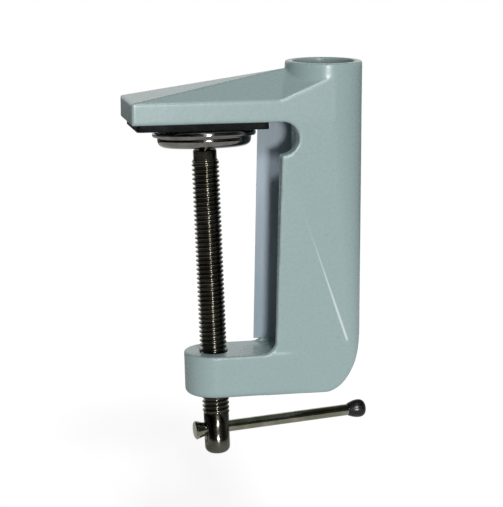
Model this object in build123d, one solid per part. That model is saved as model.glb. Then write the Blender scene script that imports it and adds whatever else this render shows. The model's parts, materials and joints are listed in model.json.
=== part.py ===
from build123d import *
import os
from math import cos, radians, sin, tan

# A die-cast edge clamp in the shape of a C, with a socket boss over the back of its spine.
# Millimetres, +Z up.  X runs along the jaws, from their tips (-X) to the back of the spine (+X),
# and Y across them.  The pieces are drawn from the boss axis and the boss rim, and the finished
# part's origin is the middle of the fixed jaw's face, where the clamp meets a table top.

# ---- lamp socket ----
pin_radius = 6.35
pin_clearance = 0.10
bush_wall = 2.4
bush_recess = 2.2               # rim down to the top of the bush
bush_length = 30.0
bush_chamfer = 0.8
collar_width = 1.85             # wide collar of the bush, in a counterbore under the rim
collar_length = 2.0
socket_floor = 3.0
socket_wall = 2.0               # casting round the bush, inside the channel
boss_wall = 2.6                 # casting round the collar

# ---- frame casting: boss and upper jaw ----
boss_base_drop = 2.25           # rim down to where the roof of the upper jaw meets the boss
rim_round = 0.5
jaw_reach = 68.5                # boss axis to the tip of the upper jaw
jaw_edge_drop = 11.8            # rim down to the long top edges of the upper jaw
jaw_thickness = 7.4             # at those edges
gusset_start = 18.3             # boss axis to where the top edges turn up to the boss
gusset_end = 4.3                # how far past the boss axis that slope would meet the roof
jaw_side_end = 1.5              # how far past the boss axis the flat sides run

# ---- frame casting: spine ----
throat_height = 81.3            # underside of the upper jaw to the top of the lower jaw
spine_front_top = 17.2          # boss axis to the throat side of the spine, at the top
spine_front_bottom = 18.7       # the same at the lower jaw
spine_back_bottom = 11.9        # boss axis to the back of the spine, at the lower jaw
spine_corner_bottom = 4.0       # back corners of the spine at the lower jaw
heel_half_width = 11.1
facet_ledge = 0.25              # lower side facets inside the lower jaw's sides, at the throat
facet_top_drop = 29.0           # rim down to where those facets begin
heel_width = 13.0               # oval outer corner between spine and lower jaw
heel_height = 25.5
crotch_radius = 4.5             # inner corner between spine and lower jaw
relief_radius = 5.65            # round relief in the corner under the upper jaw

# ---- frame casting: lower jaw ----
lower_jaw_half_width = 10.6
lower_jaw_thickness = 14.9
lower_jaw_draft = 1.5           # degrees
lower_jaw_round = 1.6           # bottom edge of its nose

# ---- frame casting: channel in the spine, open to the throat ----
channel_half_width = 8.0
channel_back_wall = 3.4
channel_corner = 2.5
channel_roof = 1.3              # from the underside level of the upper jaw down to the channel

# ---- rubber pad under the upper jaw ----
pad_thickness = 2.3
pad_side_gap = 0.8              # side of the jaw to the side of the pad
pad_tip_gap = 1.9               # tip of the jaw to the end of the pad
pad_spine_gap = 4.5             # other end of the pad to the throat side of the spine
pad_corner = 1.5

# ---- clamp screw ----
screw_lean = 2.2                # degrees, the top towards the jaw tips
screw_reach = 38.6              # boss axis to the screw at mid thickness of the lower jaw
thread_radius = 4.72            # over the crests
thread_clearance = 0.08
thread_below_jaw = 7.5          # thread that stands out under the lower jaw
neck_undercut = 0.67            # crests down to the neck
neck_length = 3.2
neck_edge = 0.3
shank_undercut = 0.27           # crests down to the shank
shank_length = 12.6
end_round = 2.2
ball_radius = 3.0
ball_flat = 2.2                 # centre of the ball up to its flat end
waist_undercut = 1.1            # ball down to the waist under it

# ---- swivel disc on the screw ----
disc_gap = 1.5                  # pad down to the rim of the disc, when the disc lies level
disc_lean = 5.05                # degrees, as the disc hangs, its side at -Y up
disc_lean_turn = 8.0            # degrees from X to the level axis that it leans about
disc_radius = 17.7
disc_rim = 1.9                  # height of the rim
rim_crown = 0.45                # bulge of the rim
bowl_step = 1.7                 # rim in to the wall of the bowl
bowl_wall_depth = 2.75          # rim down to where the wall turns into the bottom
bowl_corner = 6.5               # how far in the wall has become the bottom
disc_depth = 5.6                # rim down to the bottom there
hub_depth = 6.0                 # rim down to the mouth of the hub
hub_wall = 1.5                  # round the ball
disc_wall = 1.3
socket_gap = 0.12               # ball to hub
mouth_gap = 0.65                # room for the disc to tilt round the waist
neck_gap = 0.6                  # room for the disc to tilt over the neck
facing_gap = 0.2                # facing to the rim round it
facing_thickness = 1.1
facing_proud = 0.1
washer_thickness = 0.6
washer_outer = 2.6
washer_inner = 1.1
washer_gap = 0.45               # washer to facing, so that the disc can tilt

# ---- label strip in the channel ----
label_thickness = 0.3
label_disc_gap = 2.8            # edge of the disc to the label, which stands out past the spine
label_pad_gap = 0.3             # least room between it and the end of the pad
label_inset = 7.0               # how far it reaches into the channel
label_top_gap = 0.3
label_foot_gap = 1.4            # above the lower jaw

# ---- tommy bar ----
bar_radius = 2.05
bar_hole_clearance = 0.2
bar_drop = 5.95                 # start of the shank down to the bar
bar_turn = 5.5                  # degrees about the screw
head_radius = 3.35
head_length = 3.5
head_edge = 0.5
head_foot = 0.35                # how much the head is wider than the bar where it ends
knob_radius = 3.25
knob_start = 49.45              # screw axis to the knob
knob_length = 6.7
knob_widest = 4.15              # start of the knob to its widest place
knob_lip = 0.15
knob_flare = 0.4                # slope of the knob where it starts
knob_seat = 4.5                 # length of bar inside the knob
bar_stop_gap = 0.15             # head to shank

# ---- construction ----
huge = 400.0                    # larger than the part, for cutting solids
spare = 5.0                     # how far a cut or a prism runs past what it meets
back_flat = 0.05                # flat left at the back of the round end of the spine
on_top = (Align.CENTER, Align.CENTER, Align.MIN)
hanging = (Align.CENTER, Align.CENTER, Align.MAX)

# ---- sizes, levels and places that follow from the values above ----
bush_radius = pin_radius + pin_clearance + bush_wall
collar_radius = bush_radius + collar_width
boss_radius = collar_radius + boss_wall
socket_depth = bush_recess + bush_length
underside = -(jaw_edge_drop + jaw_thickness)
jaw_edge = -jaw_edge_drop
lower_top = underside - throat_height
lower_bottom = lower_top - lower_jaw_thickness
lower_middle = (lower_top + lower_bottom) / 2
pad_half_width = boss_radius - pad_side_gap
pad_front = -jaw_reach + pad_tip_gap
pad_back = -spine_front_top - pad_spine_gap
pad_bottom = underside - pad_thickness
to_origin = Pos(-(pad_front + pad_back) / 2, 0, -pad_bottom)

neck_radius = thread_radius - neck_undercut
shank_radius = thread_radius - shank_undercut
waist_radius = ball_radius - waist_undercut
hub_radius = ball_radius + socket_gap + hub_wall
facing_radius = disc_radius - disc_wall - facing_gap
facing_bottom = facing_proud - facing_thickness
ball_drop = washer_gap + washer_thickness + ball_flat - facing_bottom

lean_cos = cos(radians(screw_lean))
lean_tan = tan(radians(screw_lean))
disc_rim_z = pad_bottom - disc_gap
disc_rim_x = -screw_reach - (disc_rim_z - lower_middle) * lean_tan
screw_frame = Location((disc_rim_x, 0, disc_rim_z), (0, -screw_lean, 0))
jaw_on_screw = -(disc_rim_z - lower_middle) / lean_cos
thread_top = -hub_depth - neck_gap - neck_length
shank_top = jaw_on_screw - lower_jaw_thickness / 2 / lean_cos - thread_below_jaw
screw_bottom = shank_top - shank_length - end_round
bar_level = shank_top - bar_drop
bar_place = Location((0, 0, bar_level), (0, 0, bar_turn))
ball_centre = (screw_frame * Pos(0, 0, -ball_drop)).position
disc_turn = Rot(Z=disc_lean_turn) * Rot(X=-disc_lean) * Rot(Z=-disc_lean_turn)
disc_frame = Pos(*ball_centre) * disc_turn * Pos(0, 0, ball_drop)


def down_spine(z, at_top, at_foot):
    """What changes evenly from at_top, under the upper jaw, to at_foot, on the lower jaw."""
    return at_top + (at_foot - at_top) * (z - underside) / (lower_top - underside)


def front_x(z):
    """X of the throat side of the spine at height z."""
    return down_spine(z, -spine_front_top, -spine_front_bottom)


def side_of(points, heading):
    """A large block on the far side, towards heading, of the plane through three points."""
    a, b, c = (Vector(*p) for p in points)
    normal = (b - a).cross(c - a).normalized()
    if normal.dot(Vector(*heading)) < 0:
        normal = -normal
    return Plane(origin=a, z_dir=normal) * Box(huge, huge, huge, align=on_top)


def block(x0, x1, y0, y1, z0, z1):
    return Pos((x0 + x1) / 2, (y0 + y1) / 2, (z0 + z1) / 2) * Box(x1 - x0, y1 - y0, z1 - z0)


def revolved(points):
    """A solid turned about the local Z axis from an outline of (radius, height) points."""
    return revolve(Plane.XZ * make_face(Polyline(*points, close=True)), Axis.Z)


def upper_jaw():
    """Faceted roof: a long central triangle rising to the boss, a side facet and a gusset each side."""
    half = boss_radius
    up = (0, 0, 1)
    apex = (-boss_radius, 0, -boss_base_drop)
    stock = block(-jaw_reach, jaw_side_end, -half, half, underside, -boss_base_drop)
    roof = stock - side_of([(-jaw_reach, -half, jaw_edge), (-jaw_reach, half, jaw_edge), apex], up)
    gussets = stock
    for side in (-1, 1):
        tip = (-jaw_reach, side * half, jaw_edge)
        turn = (-gusset_start, side * half, jaw_edge)
        top = (gusset_end, side * half, -boss_base_drop)
        roof = roof - side_of([tip, turn, apex], up)
        gussets = gussets - side_of([turn, top, apex], up)
    return roof + gussets


def spine_section(z, front, back, half, corner):
    """Outline of the spine across Z: square at the throat side, rounded at the back."""
    arc = corner * sin(radians(45))
    centre_x, centre_y = back - corner, half - corner
    with BuildLine(Plane.XY.offset(z)) as outline:
        Line((front, -half), (centre_x, -half))
        ThreePointArc((centre_x, -half), (centre_x + arc, -centre_y - arc), (back, -centre_y))
        Line((back, -centre_y), (back, centre_y))
        ThreePointArc((back, centre_y), (centre_x + arc, centre_y + arc), (centre_x, half))
        Line((centre_x, half), (front, half))
        Line((front, half), (front, -half))
    return make_face(outline.line)


def spine():
    """Lofted from the boss down to a square-backed heel, with a flat facet low on each side."""
    reach = -spine_front_bottom - spare
    top = spine_section(underside, reach, boss_radius, boss_radius, boss_radius - back_flat)
    foot = spine_section(lower_top, reach, spine_back_bottom, heel_half_width, spine_corner_bottom)
    body = loft([top, foot], ruled=True) + extrude(foot, -lower_jaw_thickness)
    facet_top = -facet_top_drop
    top_half = down_spine(facet_top, boss_radius, heel_half_width)
    facet_foot = lower_jaw_half_width - facet_ledge
    for side in (-1, 1):
        throat_top = (-spine_front_top, side * top_half, facet_top)
        throat_foot = (-spine_front_bottom, side * facet_foot, lower_top)
        heel = (spine_back_bottom - spine_corner_bottom, side * heel_half_width, lower_top)
        body = body - side_of([throat_top, throat_foot, heel], (0, side, 0))
    return body


def side_prism():
    """Spine and lower jaw seen from the side, as a wide prism with an oval heel."""
    nose = -screw_reach - lower_jaw_half_width - spare
    crotch = (front_x(lower_top), lower_top)
    heel_top = lower_bottom + heel_height
    heel_middle = down_spine(heel_top, boss_radius, spine_back_bottom) - heel_width
    with BuildLine(Plane.XZ) as outline:
        Polyline(
            (heel_middle + heel_width, heel_top),
            (boss_radius + spare, underside),
            (front_x(underside), underside),
            crotch,
            (nose, lower_top),
            (nose, lower_bottom),
            (heel_middle, lower_bottom),
        )
        EllipticalCenterArc((heel_middle, heel_top), heel_width, heel_height, 270, arc_size=90)
    prism = extrude(make_face(outline.line), boss_radius + spare, both=True)
    corner = prism.edges().filter_by(Axis.Y).sort_by_distance((crotch[0], 0, crotch[1]))[0]
    return fillet(corner, crotch_radius)


def lower_jaw():
    """A slot-shaped bar with a round nose about the screw."""
    half = lower_jaw_half_width
    plan = Pos(-screw_reach, 0) * Circle(half) + Pos(-screw_reach / 2, 0) * Rectangle(screw_reach, 2 * half)
    bar = Pos(0, 0, lower_top) * extrude(plan, -lower_jaw_thickness, taper=lower_jaw_draft)
    bottom_edges = bar.edges().group_by(Axis.Z)[0].filter_by(GeomType.CIRCLE)
    return fillet(bottom_edges, lower_jaw_round)


def channel():
    """Hollow of the spine, open to the throat, with the wall of the lamp socket left standing in it."""
    half = channel_half_width
    step = -socket_depth - socket_floor
    back = spine_back_bottom - channel_back_wall
    deep = block(-jaw_reach, back, -half, half, lower_top, step)
    deep = fillet(deep.edges().filter_by(Axis.Z).group_by(Axis.X)[-1], channel_corner)
    shallow = block(-jaw_reach, 0, -half, half, step, underside - channel_roof)
    return deep + (shallow - Cylinder(bush_radius + socket_wall, huge))


def frame():
    """The whole casting."""
    lower = side_prism() & (spine() + lower_jaw())
    boss = Pos(0, 0, underside) * Cylinder(boss_radius, -underside, align=on_top)
    boss = fillet(boss.edges().group_by(Axis.Z)[-1], rim_round)
    body = lower + upper_jaw() + boss
    relief = Rot(90, 0, 0) * Cylinder(relief_radius, huge)
    relief = Pos(-spine_front_top, 0, underside - relief_radius) * relief
    bore = Cylinder(bush_radius, socket_depth, align=hanging)
    bore = bore + Cylinder(collar_radius, bush_recess + collar_length, align=hanging)
    tapping = Cylinder(thread_radius + thread_clearance, 2 * lower_jaw_thickness)
    tapping = screw_frame * Pos(0, 0, jaw_on_screw) * tapping
    return body - channel() - relief - bore - tapping


def socket_bush():
    """A flanged plastic sleeve for the pin of a lamp arm."""
    sleeve = Cylinder(bush_radius, bush_length, align=hanging)
    sleeve = sleeve + Cylinder(collar_radius, collar_length, align=hanging)
    sleeve = sleeve - Cylinder(pin_radius + pin_clearance, bush_length, align=hanging)
    lead_in = sleeve.edges().group_by(Axis.Z)[-1].sort_by(SortBy.RADIUS)[0]
    return Pos(0, 0, -bush_recess) * chamfer(lead_in, bush_chamfer)


def jaw_pad():
    pad = block(pad_front, pad_back, -pad_half_width, pad_half_width, pad_bottom, underside)
    return fillet(pad.edges().filter_by(Axis.Z), pad_corner)


def instruction_label():
    """A thin bare strip standing on the far side wall of the channel."""
    top = underside - channel_roof - label_top_gap
    foot = lower_top + label_foot_gap
    front = max(disc_rim_x + disc_radius + label_disc_gap, pad_back + label_pad_gap)
    overhang = front_x(top) - front
    points = [
        (front_x(top) - overhang, top),
        (front_x(top) + label_inset, top),
        (front_x(foot) + label_inset, foot),
        (front_x(foot) - overhang, foot),
    ]
    strip = extrude(Plane.XZ * make_face(Polyline(*points, close=True)), label_thickness)
    return Pos(0, channel_half_width, 0) * strip


def clamp_screw():
    """Ball, waist, neck, threaded length and plain shank, with the cross hole for the bar."""
    neck_top = thread_top + neck_length
    turned = revolved([
        (0, -ball_drop),
        (waist_radius, -ball_drop),
        (waist_radius, neck_top),
        (neck_radius - neck_edge, neck_top),
        (neck_radius, neck_top - neck_edge),
        (neck_radius, thread_top),
        (thread_radius, thread_top - neck_undercut),
        (thread_radius, shank_top),
        (shank_radius, shank_top - shank_undercut),
        (shank_radius, screw_bottom),
        (0, screw_bottom),
    ])
    turned = fillet(turned.edges().group_by(Axis.Z)[0], end_round)
    ball = Sphere(ball_radius) - Pos(0, 0, ball_flat) * Cylinder(ball_radius, ball_radius, align=on_top)
    hole = Cylinder(bar_radius + bar_hole_clearance, 3 * thread_radius)
    hole = bar_place * Rot(0, 90, 0) * hole
    return screw_frame * (turned + Pos(0, 0, -ball_drop) * ball - hole)


def swivel_disc():
    """A shallow bowl with a crowned rim, closed round the ball of the screw."""
    inner, outer = disc_radius - disc_wall, disc_radius - rim_crown
    bowl = disc_radius - bowl_step
    with BuildSketch(Plane.XZ) as section:
        with BuildLine():
            Polyline((0, facing_bottom), (inner, facing_bottom), (inner, 0), (outer, 0))
            ThreePointArc((outer, 0), (disc_radius, -disc_rim / 2), (outer, -disc_rim))
            Polyline((outer, -disc_rim), (bowl, -disc_rim), (bowl, -bowl_wall_depth))
            Spline((bowl, -bowl_wall_depth), (bowl - bowl_corner, -disc_depth),
                   tangents=((0, -1), (-1, 0)))
            Polyline((bowl - bowl_corner, -disc_depth), (hub_radius, -hub_depth), (0, -hub_depth),
                     (0, facing_bottom))
        make_face()
    dish = revolve(section.sketch, Axis.Z)
    socket = Sphere(ball_radius + socket_gap)
    socket = socket + Cylinder(waist_radius + mouth_gap, huge, align=hanging)
    socket = socket + Cylinder(ball_radius + socket_gap, huge, align=on_top)
    return disc_frame * (dish - Pos(0, 0, -ball_drop) * socket)


def disc_facing():
    disc = Pos(0, 0, facing_proud) * Cylinder(facing_radius, facing_thickness, align=hanging)
    return disc_frame * disc


def ball_washer():
    """A loose washer between the flat of the ball and the facing."""
    ring = Cylinder(washer_outer, washer_thickness, align=on_top) - Cylinder(washer_inner, huge)
    return screw_frame * Pos(0, 0, -ball_drop + ball_flat) * ring


def tommy_bar():
    """A plain bar with one flared head, pointing along +X of its own frame."""
    foot = -shank_radius - bar_stop_gap
    rod = revolved([
        (0, foot - head_length),
        (head_radius - head_edge, foot - head_length),
        (head_radius, foot - head_length + head_edge),
        (bar_radius + head_foot, foot),
        (bar_radius, foot),
        (bar_radius, knob_start + knob_seat),
        (0, knob_start + knob_seat),
    ])
    return screw_frame * bar_place * Rot(0, 90, 0) * rod


def bar_knob():
    """A moulded cap on the other end of the bar."""
    seat_end, widest, tip = (knob_start + along for along in (knob_seat, knob_widest, knob_length))
    lip = bar_radius + knob_lip
    with BuildSketch(Plane.XZ) as section:
        with BuildLine():
            Polyline((0, seat_end), (bar_radius, seat_end), (bar_radius, knob_start), (lip, knob_start))
            Spline((lip, knob_start), (knob_radius, widest), tangents=((knob_flare, 1), (0, 1)))
            Spline((knob_radius, widest), (0, tip), tangents=((0, 1), (-1, 0)))
            Line((0, tip), (0, seat_end))
        make_face()
    return screw_frame * bar_place * Rot(0, 90, 0) * revolve(section.sketch, Axis.Z)


parts = {
    "frame": frame,
    "socket_bush": socket_bush,
    "jaw_pad": jaw_pad,
    "instruction_label": instruction_label,
    "clamp_screw": clamp_screw,
    "swivel_disc": swivel_disc,
    "disc_facing": disc_facing,
    "ball_washer": ball_washer,
    "tommy_bar": tommy_bar,
    "bar_knob": bar_knob,
}

os.makedirs("parts", exist_ok=True)
for name, make in parts.items():
    export_step(to_origin * make(), f"parts/{name}.step")
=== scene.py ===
import json
from math import cos, pi, radians, sin

import bmesh
import bpy
from mathutils import Matrix, Vector


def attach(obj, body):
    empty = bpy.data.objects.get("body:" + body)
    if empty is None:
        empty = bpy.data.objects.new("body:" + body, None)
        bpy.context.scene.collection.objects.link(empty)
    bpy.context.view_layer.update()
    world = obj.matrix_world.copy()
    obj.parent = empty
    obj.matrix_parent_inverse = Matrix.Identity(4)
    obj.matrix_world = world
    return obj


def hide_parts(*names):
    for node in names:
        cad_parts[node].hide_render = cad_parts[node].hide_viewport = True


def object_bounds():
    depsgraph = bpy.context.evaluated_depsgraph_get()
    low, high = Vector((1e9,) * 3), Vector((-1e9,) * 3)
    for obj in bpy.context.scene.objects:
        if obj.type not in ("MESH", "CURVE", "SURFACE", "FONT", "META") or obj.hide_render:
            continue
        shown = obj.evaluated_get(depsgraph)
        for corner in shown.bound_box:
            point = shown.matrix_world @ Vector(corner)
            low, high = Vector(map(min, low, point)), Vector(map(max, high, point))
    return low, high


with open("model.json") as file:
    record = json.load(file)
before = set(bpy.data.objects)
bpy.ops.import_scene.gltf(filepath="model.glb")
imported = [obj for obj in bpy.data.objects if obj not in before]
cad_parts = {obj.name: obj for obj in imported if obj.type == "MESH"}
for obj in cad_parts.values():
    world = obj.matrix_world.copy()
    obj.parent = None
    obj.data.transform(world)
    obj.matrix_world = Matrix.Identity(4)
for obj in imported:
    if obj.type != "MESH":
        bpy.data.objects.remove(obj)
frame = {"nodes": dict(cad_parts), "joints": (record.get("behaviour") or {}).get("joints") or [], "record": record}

# Looks for a die-cast edge clamp.  Lengths are in millimetres times MM, so in metres.
# Each CAD node is replaced by a finished piece: the casting gets rounded edges, the screw its
# thread, and the other pieces small bevels.
MM = 0.001
cad_low, cad_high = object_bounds()
record = frame["record"]
joints = {joint["name"]: joint for joint in frame["joints"]}
mounts = {mount["name"]: mount for mount in record["mounts"]}
slots = {part["node"]: part["material_slot"] for part in record["subparts"]}
bodies = {node: body for body, nodes in record["behaviour"]["bodies"].items() for node in nodes}

# ---- casting ----
casting_voxel = 0.42 * MM
casting_smoothing = 6           # passes
casting_smooth_share = 0.5      # of the way to the neighbours' mean, each pass

# the slanting crease where the drafted sides meet the lower facets, along which a highlight is painted, measured
# from the lamp_socket mount
crease_top = Vector((-17.2, 0, -11.4)) * MM
crease_foot = Vector((7.9, 0, -82.9)) * MM

# ---- meshes ----
weld_distance = 0.0005 * MM     # for the doubled points of a CAD mesh
# faces that meet at less than this angle are shaded as one surface
smooth_angle = radians(38)
casting_smooth_angle = radians(80)
screw_smooth_angle = radians(50)

# ---- thread of the screw: 3/8-16, right-hand ----
pitch = 1.5875 * MM
crest_radius = 4.72 * MM
root_radius = 3.87 * MM
core_radius = 3.6 * MM          # what is left of the plain cylinder under the thread
crest_tolerance = 0.02 * MM     # a CAD point this near to crest_radius lies on the plain cylinder
thread_columns = 72             # points in one turn
thread_weld = 0.002 * MM
spare_turns = 3                 # drawn past the two ends and flattened on them
run_out = 1.2                   # turns over which the thread fades at each end
end_depth = 0.35                # share of the groove's depth that is left at the very end
thread_profile = (              # share of the pitch, share of the depth that is left standing
    (0.00, 1.0), (0.10, 1.0), (0.22, 0.72), (0.36, 0.32),
    (0.46, 0.04), (0.55, 0.0), (0.64, 0.04), (0.74, 0.32), (0.88, 0.72),
)

# ---- bevelled pieces: name, CAD node, width, segments ----
bevel_from_angle = radians(35)
bevelled = (
    ("rubber_pad", "jaw_pad", 0.45 * MM, 3),
    ("label", "instruction_label", 0.08 * MM, 2),
    ("bush", "socket_bush", 0.25 * MM, 2),
    ("dish", "swivel_disc", 0.18 * MM, 2),
    ("facing", "disc_facing", 0.30 * MM, 2),
    ("washer", "ball_washer", 0.08 * MM, 2),
    ("bar", "tommy_bar", 0.15 * MM, 2),
    ("knob", "bar_knob", 0.08 * MM, 2),
)

# ---- colours, linear ----
white = (1.0, 1.0, 1.0)
enamel_grey = (0.332, 0.440, 0.437)
enamel_shade = (0.328, 0.436, 0.432)
enamel_light = (0.335, 0.445, 0.442)
dust_colour = (0.62, 0.66, 0.64)
grime_colour = (0.15, 0.17, 0.15)
worn_edge = (0.60, 0.66, 0.65)
# colour of the painted highlight along the slanting crease
crease_highlight_colour = (0.80, 0.88, 0.88)
rubber_black = (0.006, 0.007, 0.009)
rubber_dark = (0.004, 0.005, 0.006)
rubber_chalky = (0.010, 0.011, 0.011)
film_blue = (0.33, 0.40, 0.47)
film_dark = (0.28, 0.355, 0.42)
film_light = (0.38, 0.455, 0.52)
film_mark = (0.20, 0.22, 0.22)

# ---- camera ----
camera_lens = 121.07            # in millimetres, as is the sensor's width
camera_sensor = 36
camera_sees_from = 0.01
camera_sees_to = 10
camera_distance = 592.78 * MM
camera_direction = Vector((0.20999, 0.95548, -0.20731))
aim_from_socket = Vector((-25.234, 0, -48.977)) * MM

# ---- light ----
ambient = 0.20
lamps = (                       # name, where it is, width in degrees, level, seen in gloss
    ("front", Vector((0.01, -1.0, 0.02)), 9, 0.42, True),
    ("key", Vector((0.0, -0.81, 0.56)), 9, 0.36, True),
    ("back", Vector((0.45, 0.78, 0.42)), 30, 0.36, False),
)
floor_radius = 0.75
floor_segments = 96
floor_roughness = 0.9
floor_drop = 8 * MM             # below the lowest point that the screw runs down to
floor_grey = 0.50
floor_glow = 0.74               # added for the camera, which sees the floor as white
floor_mirrored = 0.25           # added where metal or gloss paint mirrors the floor

# what metal and gloss paint mirror: a white room, dimmed towards some of its sides
room_shades = (                 # axis of the ray, where the change starts and ends, level before and after
    ("Z", 0.32, 0.60, 1.0, 0.12),       # ceiling
    ("Z", -0.16, 0.02, 0.10, 1.0),      # ground
    ("X", -0.70, -0.30, 0.06, 1.0),     # left
    ("X", 0.30, 0.75, 1.0, 0.25),       # right
    ("Y", -0.60, 0.25, 0.14, 1.0),      # behind the camera
)
panel_level = 0.85              # an upright bright panel on the camera's side of the room
panel_core = 0.10               # its full level reaches this far to each side
panel_edge = 0.22               # it has faded out here


# ======== camera, light and floor ========

def add_camera():
    data = bpy.data.cameras.new("camera")
    camera = bpy.data.objects.new("camera", data)
    bpy.context.scene.collection.objects.link(camera)
    data.sensor_width = camera_sensor
    data.lens = camera_lens
    data.clip_start = camera_sees_from
    data.clip_end = camera_sees_to
    aim = Vector(mounts["lamp_socket"]["pos_m"]) + aim_from_socket
    camera.location = aim - camera_direction.normalized() * camera_distance
    camera.rotation_mode = "QUATERNION"
    camera.rotation_quaternion = camera_direction.to_track_quat("-Z", "Y")
    bpy.context.scene.camera = camera


def add_lamp(name, direction, width, level, in_gloss):
    """A distant soft lamp that alone shows a white surface facing it at this level."""
    data = bpy.data.lights.new(name, "SUN")
    data.angle = radians(width)
    data.energy = level * pi
    lamp = bpy.data.objects.new(name, data)
    bpy.context.scene.collection.objects.link(lamp)
    lamp.rotation_mode = "QUATERNION"
    lamp.rotation_quaternion = (-direction).to_track_quat("-Z", "Y")
    lamp.visible_glossy = in_gloss


class Nodes:
    """Short forms for the nodes that the materials and the world share."""

    def __init__(self, tree):
        self.tree = tree

    def add(self, kind, **settings):
        node = self.tree.nodes.new("ShaderNode" + kind)
        for name, value in settings.items():
            setattr(node, name, value)
        return node

    def link(self, source, target):
        self.tree.links.new(source, target)

    def value(self, target, source):
        """Joins source to a socket, or sets the socket if source is a plain number or colour."""
        if isinstance(source, (int, float, tuple)):
            target.default_value = source
        else:
            self.link(source, target)

    def math(self, operation, a, b=0.0, clamp=False):
        node = self.add("Math", operation=operation, use_clamp=clamp)
        self.value(node.inputs[0], a)
        self.value(node.inputs[1], b)
        return node.outputs[0]

    def spread(self, source, low, high, to_low=0.0, to_high=1.0):
        """Goes smoothly from to_low to to_high while source goes from low to high."""
        node = self.add("MapRange", interpolation_type="SMOOTHSTEP")
        self.value(node.inputs["Value"], source)
        ends = {"From Min": low, "From Max": high, "To Min": to_low, "To Max": to_high}
        for name, value in ends.items():
            node.inputs[name].default_value = value
        return node.outputs["Result"]

    def noise(self, size, detail=2.0, stretch=(1, 1, 1)):
        """Noise from 0 to 1 whose lumps are about size across; a small stretch draws them out."""
        mapping = self.add("Mapping")
        self.link(self.add("TexCoord").outputs["Object"], mapping.inputs["Vector"])
        mapping.inputs["Scale"].default_value = stretch
        node = self.add("TexNoise")
        self.link(mapping.outputs["Vector"], node.inputs["Vector"])
        node.inputs["Scale"].default_value = 1 / size
        node.inputs["Detail"].default_value = detail
        return node.outputs["Fac"]

    def mix(self, factor, a, b):
        """Colour a turning into b; each is a colour or another node's output."""
        node = self.add("Mix", data_type="RGBA")
        self.value(node.inputs["Factor"], factor)
        for name, colour in (("A", a), ("B", b)):
            self.value(node.inputs[name], (*colour, 1) if isinstance(colour, tuple) else colour)
        return node.outputs["Result"]


def add_world():
    """White to the camera, a shaded room to metal and gloss paint, and a dim even light to the rest."""
    world = bpy.data.worlds.new("world")
    world.use_nodes = True
    bpy.context.scene.world = world
    nodes = Nodes(world.node_tree)
    way = nodes.add("SeparateXYZ")
    nodes.link(nodes.add("TexCoord").outputs["Generated"], way.inputs[0])
    path = nodes.add("LightPath")
    room = 1.0
    for axis, start, end, before, after in room_shades:
        room = nodes.math("MULTIPLY", nodes.spread(way.outputs[axis], start, end, before, after), room)
    sideways = nodes.math("ABSOLUTE", way.outputs["X"])
    beside = nodes.spread(sideways, panel_core, panel_edge, panel_level, 0.0)
    panel = nodes.math("MULTIPLY", beside, nodes.math("LESS_THAN", way.outputs["Y"], 0.0))
    room = nodes.math("MAXIMUM", room, panel)
    seen = nodes.math("MAXIMUM", path.outputs["Is Glossy Ray"], path.outputs["Is Transmission Ray"])
    room_or_ambient = nodes.add("Mix", data_type="FLOAT")
    nodes.link(seen, room_or_ambient.inputs["Factor"])
    room_or_ambient.inputs["A"].default_value = ambient
    nodes.link(room, room_or_ambient.inputs["B"])
    strength = nodes.math("MAXIMUM", room_or_ambient.outputs["Result"], path.outputs["Is Camera Ray"])
    background = world.node_tree.nodes["Background"]
    background.inputs["Color"].default_value = (*white, 1)
    nodes.link(strength, background.inputs["Strength"])


def add_floor():
    """A pale floor, low enough for the screw to run all the way down."""
    level = cad_low.z - joints["screw_feed"]["range_m"][1] - floor_drop
    mesh = bmesh.new()
    bmesh.ops.create_circle(mesh, cap_ends=True, segments=floor_segments, radius=floor_radius,
                            matrix=Matrix.Translation((0, 0, level)))
    floor = new_piece("floor", mesh)
    material = bpy.data.materials.new("floor")
    material.use_nodes = True
    nodes = Nodes(material.node_tree)
    shader = material.node_tree.nodes["Principled BSDF"]
    shader.inputs["Base Color"].default_value = (floor_grey, floor_grey, floor_grey, 1)
    shader.inputs["Roughness"].default_value = floor_roughness
    shader.inputs["Specular IOR Level"].default_value = 0.0
    path = nodes.add("LightPath")
    mirrored = nodes.math("MAXIMUM", path.outputs["Is Glossy Ray"], path.outputs["Is Transmission Ray"])
    glow = nodes.math("ADD", nodes.math("MULTIPLY", path.outputs["Is Camera Ray"], floor_glow),
                      nodes.math("MULTIPLY", mirrored, floor_mirrored))
    shader.inputs["Emission Color"].default_value = (*white, 1)
    nodes.link(glow, shader.inputs["Emission Strength"])
    floor.data.materials.append(material)


# ======== materials ========

materials = {}


def finish(slot, base, roughness, metallic=0.0):
    """Adds the slot's material, with its Principled shader's plain values set."""
    material = bpy.data.materials.new(slot)
    material.use_nodes = True
    shader = material.node_tree.nodes["Principled BSDF"]
    shader.inputs["Base Color"].default_value = (*base, 1)
    shader.inputs["Roughness"].default_value = roughness
    shader.inputs["Metallic"].default_value = metallic
    materials[slot] = material
    return Nodes(material.node_tree), shader


def bump(nodes, shader, height, distance):
    """Tilts the shader's normal as if the surface rose by distance where height goes from 0 to 1."""
    node = nodes.add("Bump")
    node.inputs["Distance"].default_value = distance
    nodes.link(height, node.inputs["Height"])
    nodes.link(node.outputs["Normal"], shader.inputs["Normal"])


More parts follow.
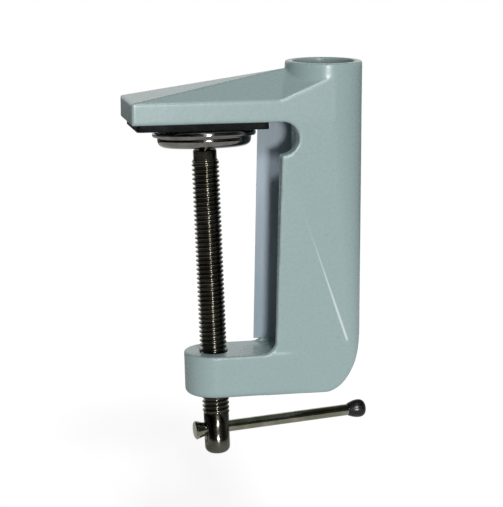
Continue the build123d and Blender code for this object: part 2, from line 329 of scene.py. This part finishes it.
def painted_crease_highlight(nodes):
    """How bright the painted highlight along the slanting crease of each side is: none at its top, most just above
    its foot.
    """
    socket = Vector(mounts["lamp_socket"]["pos_m"])
    run = crease_foot - crease_top
    across = Vector((-run.z, 0, run.x)).normalized()
    point = nodes.add("VectorMath", operation="SUBTRACT")
    nodes.link(nodes.add("TexCoord").outputs["Object"], point.inputs[0])
    point.inputs[1].default_value = socket + crease_top
    measures = []
    for direction in (across, run / run.length_squared):
        dot = nodes.add("VectorMath", operation="DOT_PRODUCT")
        nodes.link(point.outputs[0], dot.inputs[0])
        dot.inputs[1].default_value = direction
        measures.append(dot.outputs["Value"])
    # along is 0 at the crease's top and 1 at its foot
    off_line, along = measures
    width = nodes.spread(along, 0.3, 0.95, 0.15 * MM, 0.60 * MM)
    share_of_width = nodes.math("DIVIDE", nodes.math("ABSOLUTE", off_line), width)
    near = nodes.math("SUBTRACT", 1.0, share_of_width, clamp=True)
    gain = nodes.spread(along, 0.15, 0.85, 0.0, 0.95)
    end = nodes.spread(along, 0.935, 0.955, 1.0, 0.0)
    # outside, the point and its normal lie on the same side of the middle; in the channel they don't
    sides = []
    for output in ("Object", "Normal"):
        axes = nodes.add("SeparateXYZ")
        nodes.link(nodes.add("TexCoord").outputs[output], axes.inputs[0])
        sides.append(axes.outputs["Y"])
    outside = nodes.math("GREATER_THAN", nodes.math("MULTIPLY", *sides), 0.0)
    strength = nodes.math("MULTIPLY", nodes.math("MULTIPLY", gain, end), outside)
    return nodes.math("MULTIPLY", near, strength)


def enamel():
    """Grey-green gloss paint on a casting: orange peel, faint mottling, dust, grime, rubbed edges and a painted
    highlight along the slanting crease.
    """
    nodes, shader = finish("enamel", enamel_grey, 0.24)
    mottle = nodes.mix(nodes.noise(22 * MM, 3), enamel_shade, enamel_light)
    dust = nodes.spread(nodes.noise(0.55 * MM, 1), 0.74, 0.80, 0.0, 0.35)
    dusty = nodes.mix(dust, mottle, dust_colour)
    grime = nodes.spread(nodes.noise(1.3 * MM, 2), 0.24, 0.31, 0.30, 0.0)
    dirty = nodes.mix(grime, dusty, grime_colour)
    rubbed = nodes.spread(nodes.add("NewGeometry").outputs["Pointiness"], 0.56, 0.68, 0.0, 0.30)
    worn = nodes.mix(rubbed, dirty, worn_edge)
    # painted highlight along the slanting crease of each side
    nodes.link(nodes.mix(painted_crease_highlight(nodes), worn, crease_highlight_colour), shader.inputs["Base Color"])
    fine = nodes.noise(1.6 * MM, 1)
    nodes.link(nodes.spread(fine, 0.3, 0.7, 0.268, 0.282), shader.inputs["Roughness"])
    waves = nodes.math("MULTIPLY", nodes.noise(8 * MM, 1), 2.5)
    bump(nodes, shader, nodes.math("ADD", fine, waves), 0.02 * MM)


def plating(slot, dark, light, roughness, scratches, streak=(1, 1, 1)):
    """Metal with a tarnish that comes and goes, and fine lines that streak squeezes or draws out."""
    nodes, shader = finish(slot, light, roughness, 1.0)
    tarnish = nodes.spread(nodes.noise(5 * MM, 4), 0.35, 0.68)
    nodes.link(nodes.mix(tarnish, dark, light), shader.inputs["Base Color"])
    lines = nodes.noise(scratches, 3, streak)
    rough = nodes.spread(lines, 0.3, 0.75, roughness * 0.75, roughness * 1.45)
    nodes.link(rough, shader.inputs["Roughness"])
    bump(nodes, shader, lines, 0.006 * MM)


def rubber():
    """Black rubber with a chalky bloom and a fine grain."""
    nodes, shader = finish("pad_rubber", rubber_black, 0.62)
    shader.inputs["Specular IOR Level"].default_value = 0.12
    chalk = nodes.spread(nodes.noise(2.5 * MM, 4), 0.45, 0.75)
    nodes.link(nodes.mix(chalk, rubber_dark, rubber_chalky), shader.inputs["Base Color"])
    nodes.link(nodes.spread(nodes.noise(4 * MM, 2), 0.3, 0.7, 0.52, 0.74), shader.inputs["Roughness"])
    bump(nodes, shader, nodes.noise(0.35 * MM, 2), 0.03 * MM)


def plastic(slot, dark, light, roughness, grain):
    """Moulded plastic with a fine spark-eroded grain and a few scuffs."""
    nodes, shader = finish(slot, dark, roughness)
    scuffs = nodes.spread(nodes.noise(3 * MM, 5, (1, 1, 4)), 0.52, 0.74)
    nodes.link(nodes.mix(scuffs, dark, light), shader.inputs["Base Color"])
    rough = nodes.math("ADD", nodes.math("MULTIPLY", scuffs, 0.15), roughness)
    nodes.link(rough, shader.inputs["Roughness"])
    bump(nodes, shader, nodes.noise(grain, 2), 0.02 * MM)


def label_film():
    """Bare blue-grey film with faint upright streaks and a few grubby marks."""
    nodes, shader = finish("label_film", film_blue, 0.38)
    streaks = nodes.noise(2.2 * MM, 3, (1, 1, 0.12))
    clean = nodes.mix(streaks, film_dark, film_light)
    marks = nodes.spread(nodes.noise(1.1 * MM, 4), 0.60, 0.72, 0.0, 0.35)
    nodes.link(nodes.mix(marks, clean, film_mark), shader.inputs["Base Color"])
    bump(nodes, shader, nodes.noise(1.8 * MM, 2, (1, 1, 0.3)), 0.02 * MM)


enamel()
rubber()
label_film()
plastic("bush_plastic", dark=(0.018, 0.018, 0.019), light=(0.045, 0.045, 0.045),
        roughness=0.42, grain=0.4 * MM)
plastic("knob_plastic", dark=(0.006, 0.006, 0.007), light=(0.022, 0.022, 0.023),
        roughness=0.22, grain=0.5 * MM)
plating("screw_plating", dark=(0.089, 0.085, 0.067), light=(0.150, 0.145, 0.120),
        roughness=0.15, scratches=0.5 * MM)
plating("disc_plating", dark=(0.21, 0.205, 0.19), light=(0.31, 0.305, 0.29),
        roughness=0.08, scratches=0.6 * MM, streak=(1, 1, 6))
plating("washer_steel", dark=(0.35, 0.34, 0.33), light=(0.55, 0.54, 0.52),
        roughness=0.35, scratches=0.4 * MM)
plating("bar_plating", dark=(0.28, 0.28, 0.20), light=(0.44, 0.43, 0.35),
        roughness=0.15, scratches=0.35 * MM, streak=(0.08, 1, 1))


# ======== pieces ========

def new_piece(name, mesh):
    """An object from a bmesh."""
    data = bpy.data.meshes.new(name)
    mesh.to_mesh(data)
    mesh.free()
    piece = bpy.data.objects.new(name, data)
    bpy.context.scene.collection.objects.link(piece)
    return piece


def welded(node):
    """The CAD node's mesh, with the doubled points along its edges joined."""
    mesh = bmesh.new()
    mesh.from_mesh(frame["nodes"][node].data)
    bmesh.ops.remove_doubles(mesh, verts=mesh.verts, dist=weld_distance)
    return mesh


def apply_modifiers(piece):
    """Replaces the piece's mesh with the one that its modifiers make."""
    bpy.context.view_layer.update()
    shown = piece.evaluated_get(bpy.context.evaluated_depsgraph_get())
    data = bpy.data.meshes.new_from_object(shown)
    piece.modifiers.clear()
    piece.data = data


def stand_for(piece, node, angle=smooth_angle):
    """Smooths the piece, gives it its material, and puts it in the CAD node's place."""
    piece.data.shade_smooth()
    piece.data.set_sharp_from_angle(angle=angle)
    piece.data.materials.clear()
    piece.data.materials.append(materials[slots[node]])
    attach(piece, bodies[node])
    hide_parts(node)


def make_casting():
    """The frame with every edge rounded, as paint over a die casting rounds it."""
    piece = new_piece("casting", welded("frame"))
    remesh = piece.modifiers.new("remesh", "REMESH")
    remesh.mode = "VOXEL"
    remesh.voxel_size = casting_voxel
    smooth = piece.modifiers.new("smooth", "SMOOTH")
    smooth.iterations = casting_smoothing
    smooth.factor = casting_smooth_share
    apply_modifiers(piece)
    stand_for(piece, "frame", casting_smooth_angle)


def make_bevelled(name, node, width, segments):
    """The CAD node with its sharp edges eased."""
    piece = new_piece(name, welded(node))
    bevel = piece.modifiers.new("bevel", "BEVEL")
    bevel.width = width
    bevel.segments = segments
    bevel.limit_method = "ANGLE"
    bevel.angle_limit = bevel_from_angle
    apply_modifiers(piece)
    stand_for(piece, node)


def screw_axes():
    """Matrix from the screw's own frame, with +Z up its axis and the ball at its origin."""
    down = Vector(joints["screw_turn"]["axis"])
    up = -down.normalized()
    across = Vector((0, 1, 0))
    along = across.cross(up).normalized()
    matrix = Matrix((along, across, up)).transposed().to_4x4()
    return Matrix.Translation(Vector(joints["screw_turn"]["pos_m"])) @ matrix


def thread_rows(bottom, top):
    """Rows of the helix: height at column 0, and share of the depth, from below bottom to above top."""
    turns = int((top - bottom) / pitch) + spare_turns
    rows = []
    for turn in range(turns):
        for share, depth in thread_profile:
            rows.append((bottom + (turn - 1 + share) * pitch, depth))
    return rows


def thread_radius_at(height, depth, bottom, top):
    """Radius of the thread's surface; its groove fades out towards both ends."""
    fade = min(height - bottom, top - height) / (run_out * pitch)
    fade = max(0.0, min(1.0, fade))
    groove = (crest_radius - root_radius) * (1 - depth)
    return crest_radius - groove * (end_depth + (1 - end_depth) * fade)


def thread_sleeve(place, bottom, top):
    """Mesh of a closed body with the helix outside, drawn on a grid whose rows follow the helix."""
    mesh = bmesh.new()
    rows = thread_rows(bottom, top)
    per_turn = len(thread_profile)
    grid = []
    for height, depth in rows:
        row = []
        for column in range(thread_columns):
            angle = 2 * pi * column / thread_columns
            level = height + pitch * column / thread_columns
            level_in = max(bottom, min(top, level))
            radius = thread_radius_at(level_in, depth, bottom, top) if level == level_in else core_radius
            row.append(mesh.verts.new(place @ Vector((radius * cos(angle), radius * sin(angle), level_in))))
        grid.append(row)
    for low in range(len(rows) - 1):
        for column in range(thread_columns):
            after = column + 1
            if after < thread_columns:
                corners = (grid[low][column], grid[low][after], grid[low + 1][after], grid[low + 1][column])
            elif low + 1 + per_turn < len(rows):
                corners = (grid[low][column], grid[low + per_turn][0],
                           grid[low + 1 + per_turn][0], grid[low + 1][column])
            else:
                continue
            mesh.faces.new(corners)
    bmesh.ops.remove_doubles(mesh, verts=mesh.verts, dist=thread_weld)
    bmesh.ops.dissolve_degenerate(mesh, edges=mesh.edges, dist=thread_weld)
    bmesh.ops.holes_fill(mesh, edges=[edge for edge in mesh.edges if edge.is_boundary])
    bmesh.ops.recalc_face_normals(mesh, faces=mesh.faces)
    sleeve = bpy.data.meshes.new("thread")
    mesh.to_mesh(sleeve)
    mesh.free()
    return sleeve


def make_screw():
    """The CAD screw with its threaded length slimmed to a core, and a real thread round that."""
    place = screw_axes()
    inward = place.inverted()
    mesh = welded("clamp_screw")
    levels = []
    for vert in mesh.verts:
        local = inward @ vert.co
        radius = Vector((local.x, local.y)).length
        if abs(radius - crest_radius) < crest_tolerance:
            levels.append(local.z)
            local.x *= core_radius / radius
            local.y *= core_radius / radius
            vert.co = place @ local
    bmesh.ops.recalc_face_normals(mesh, faces=mesh.faces)
    sleeve = thread_sleeve(place, min(levels), max(levels))
    mesh.from_mesh(sleeve)
    bpy.data.meshes.remove(sleeve)
    piece = new_piece("threaded_screw", mesh)
    stand_for(piece, "clamp_screw", screw_smooth_angle)


add_camera()
add_world()
for lamp in lamps:
    add_lamp(*lamp)
add_floor()
bpy.context.scene.view_settings.view_transform = "Standard"

make_casting()
make_screw()
for piece in bevelled:
    make_bevelled(*piece)
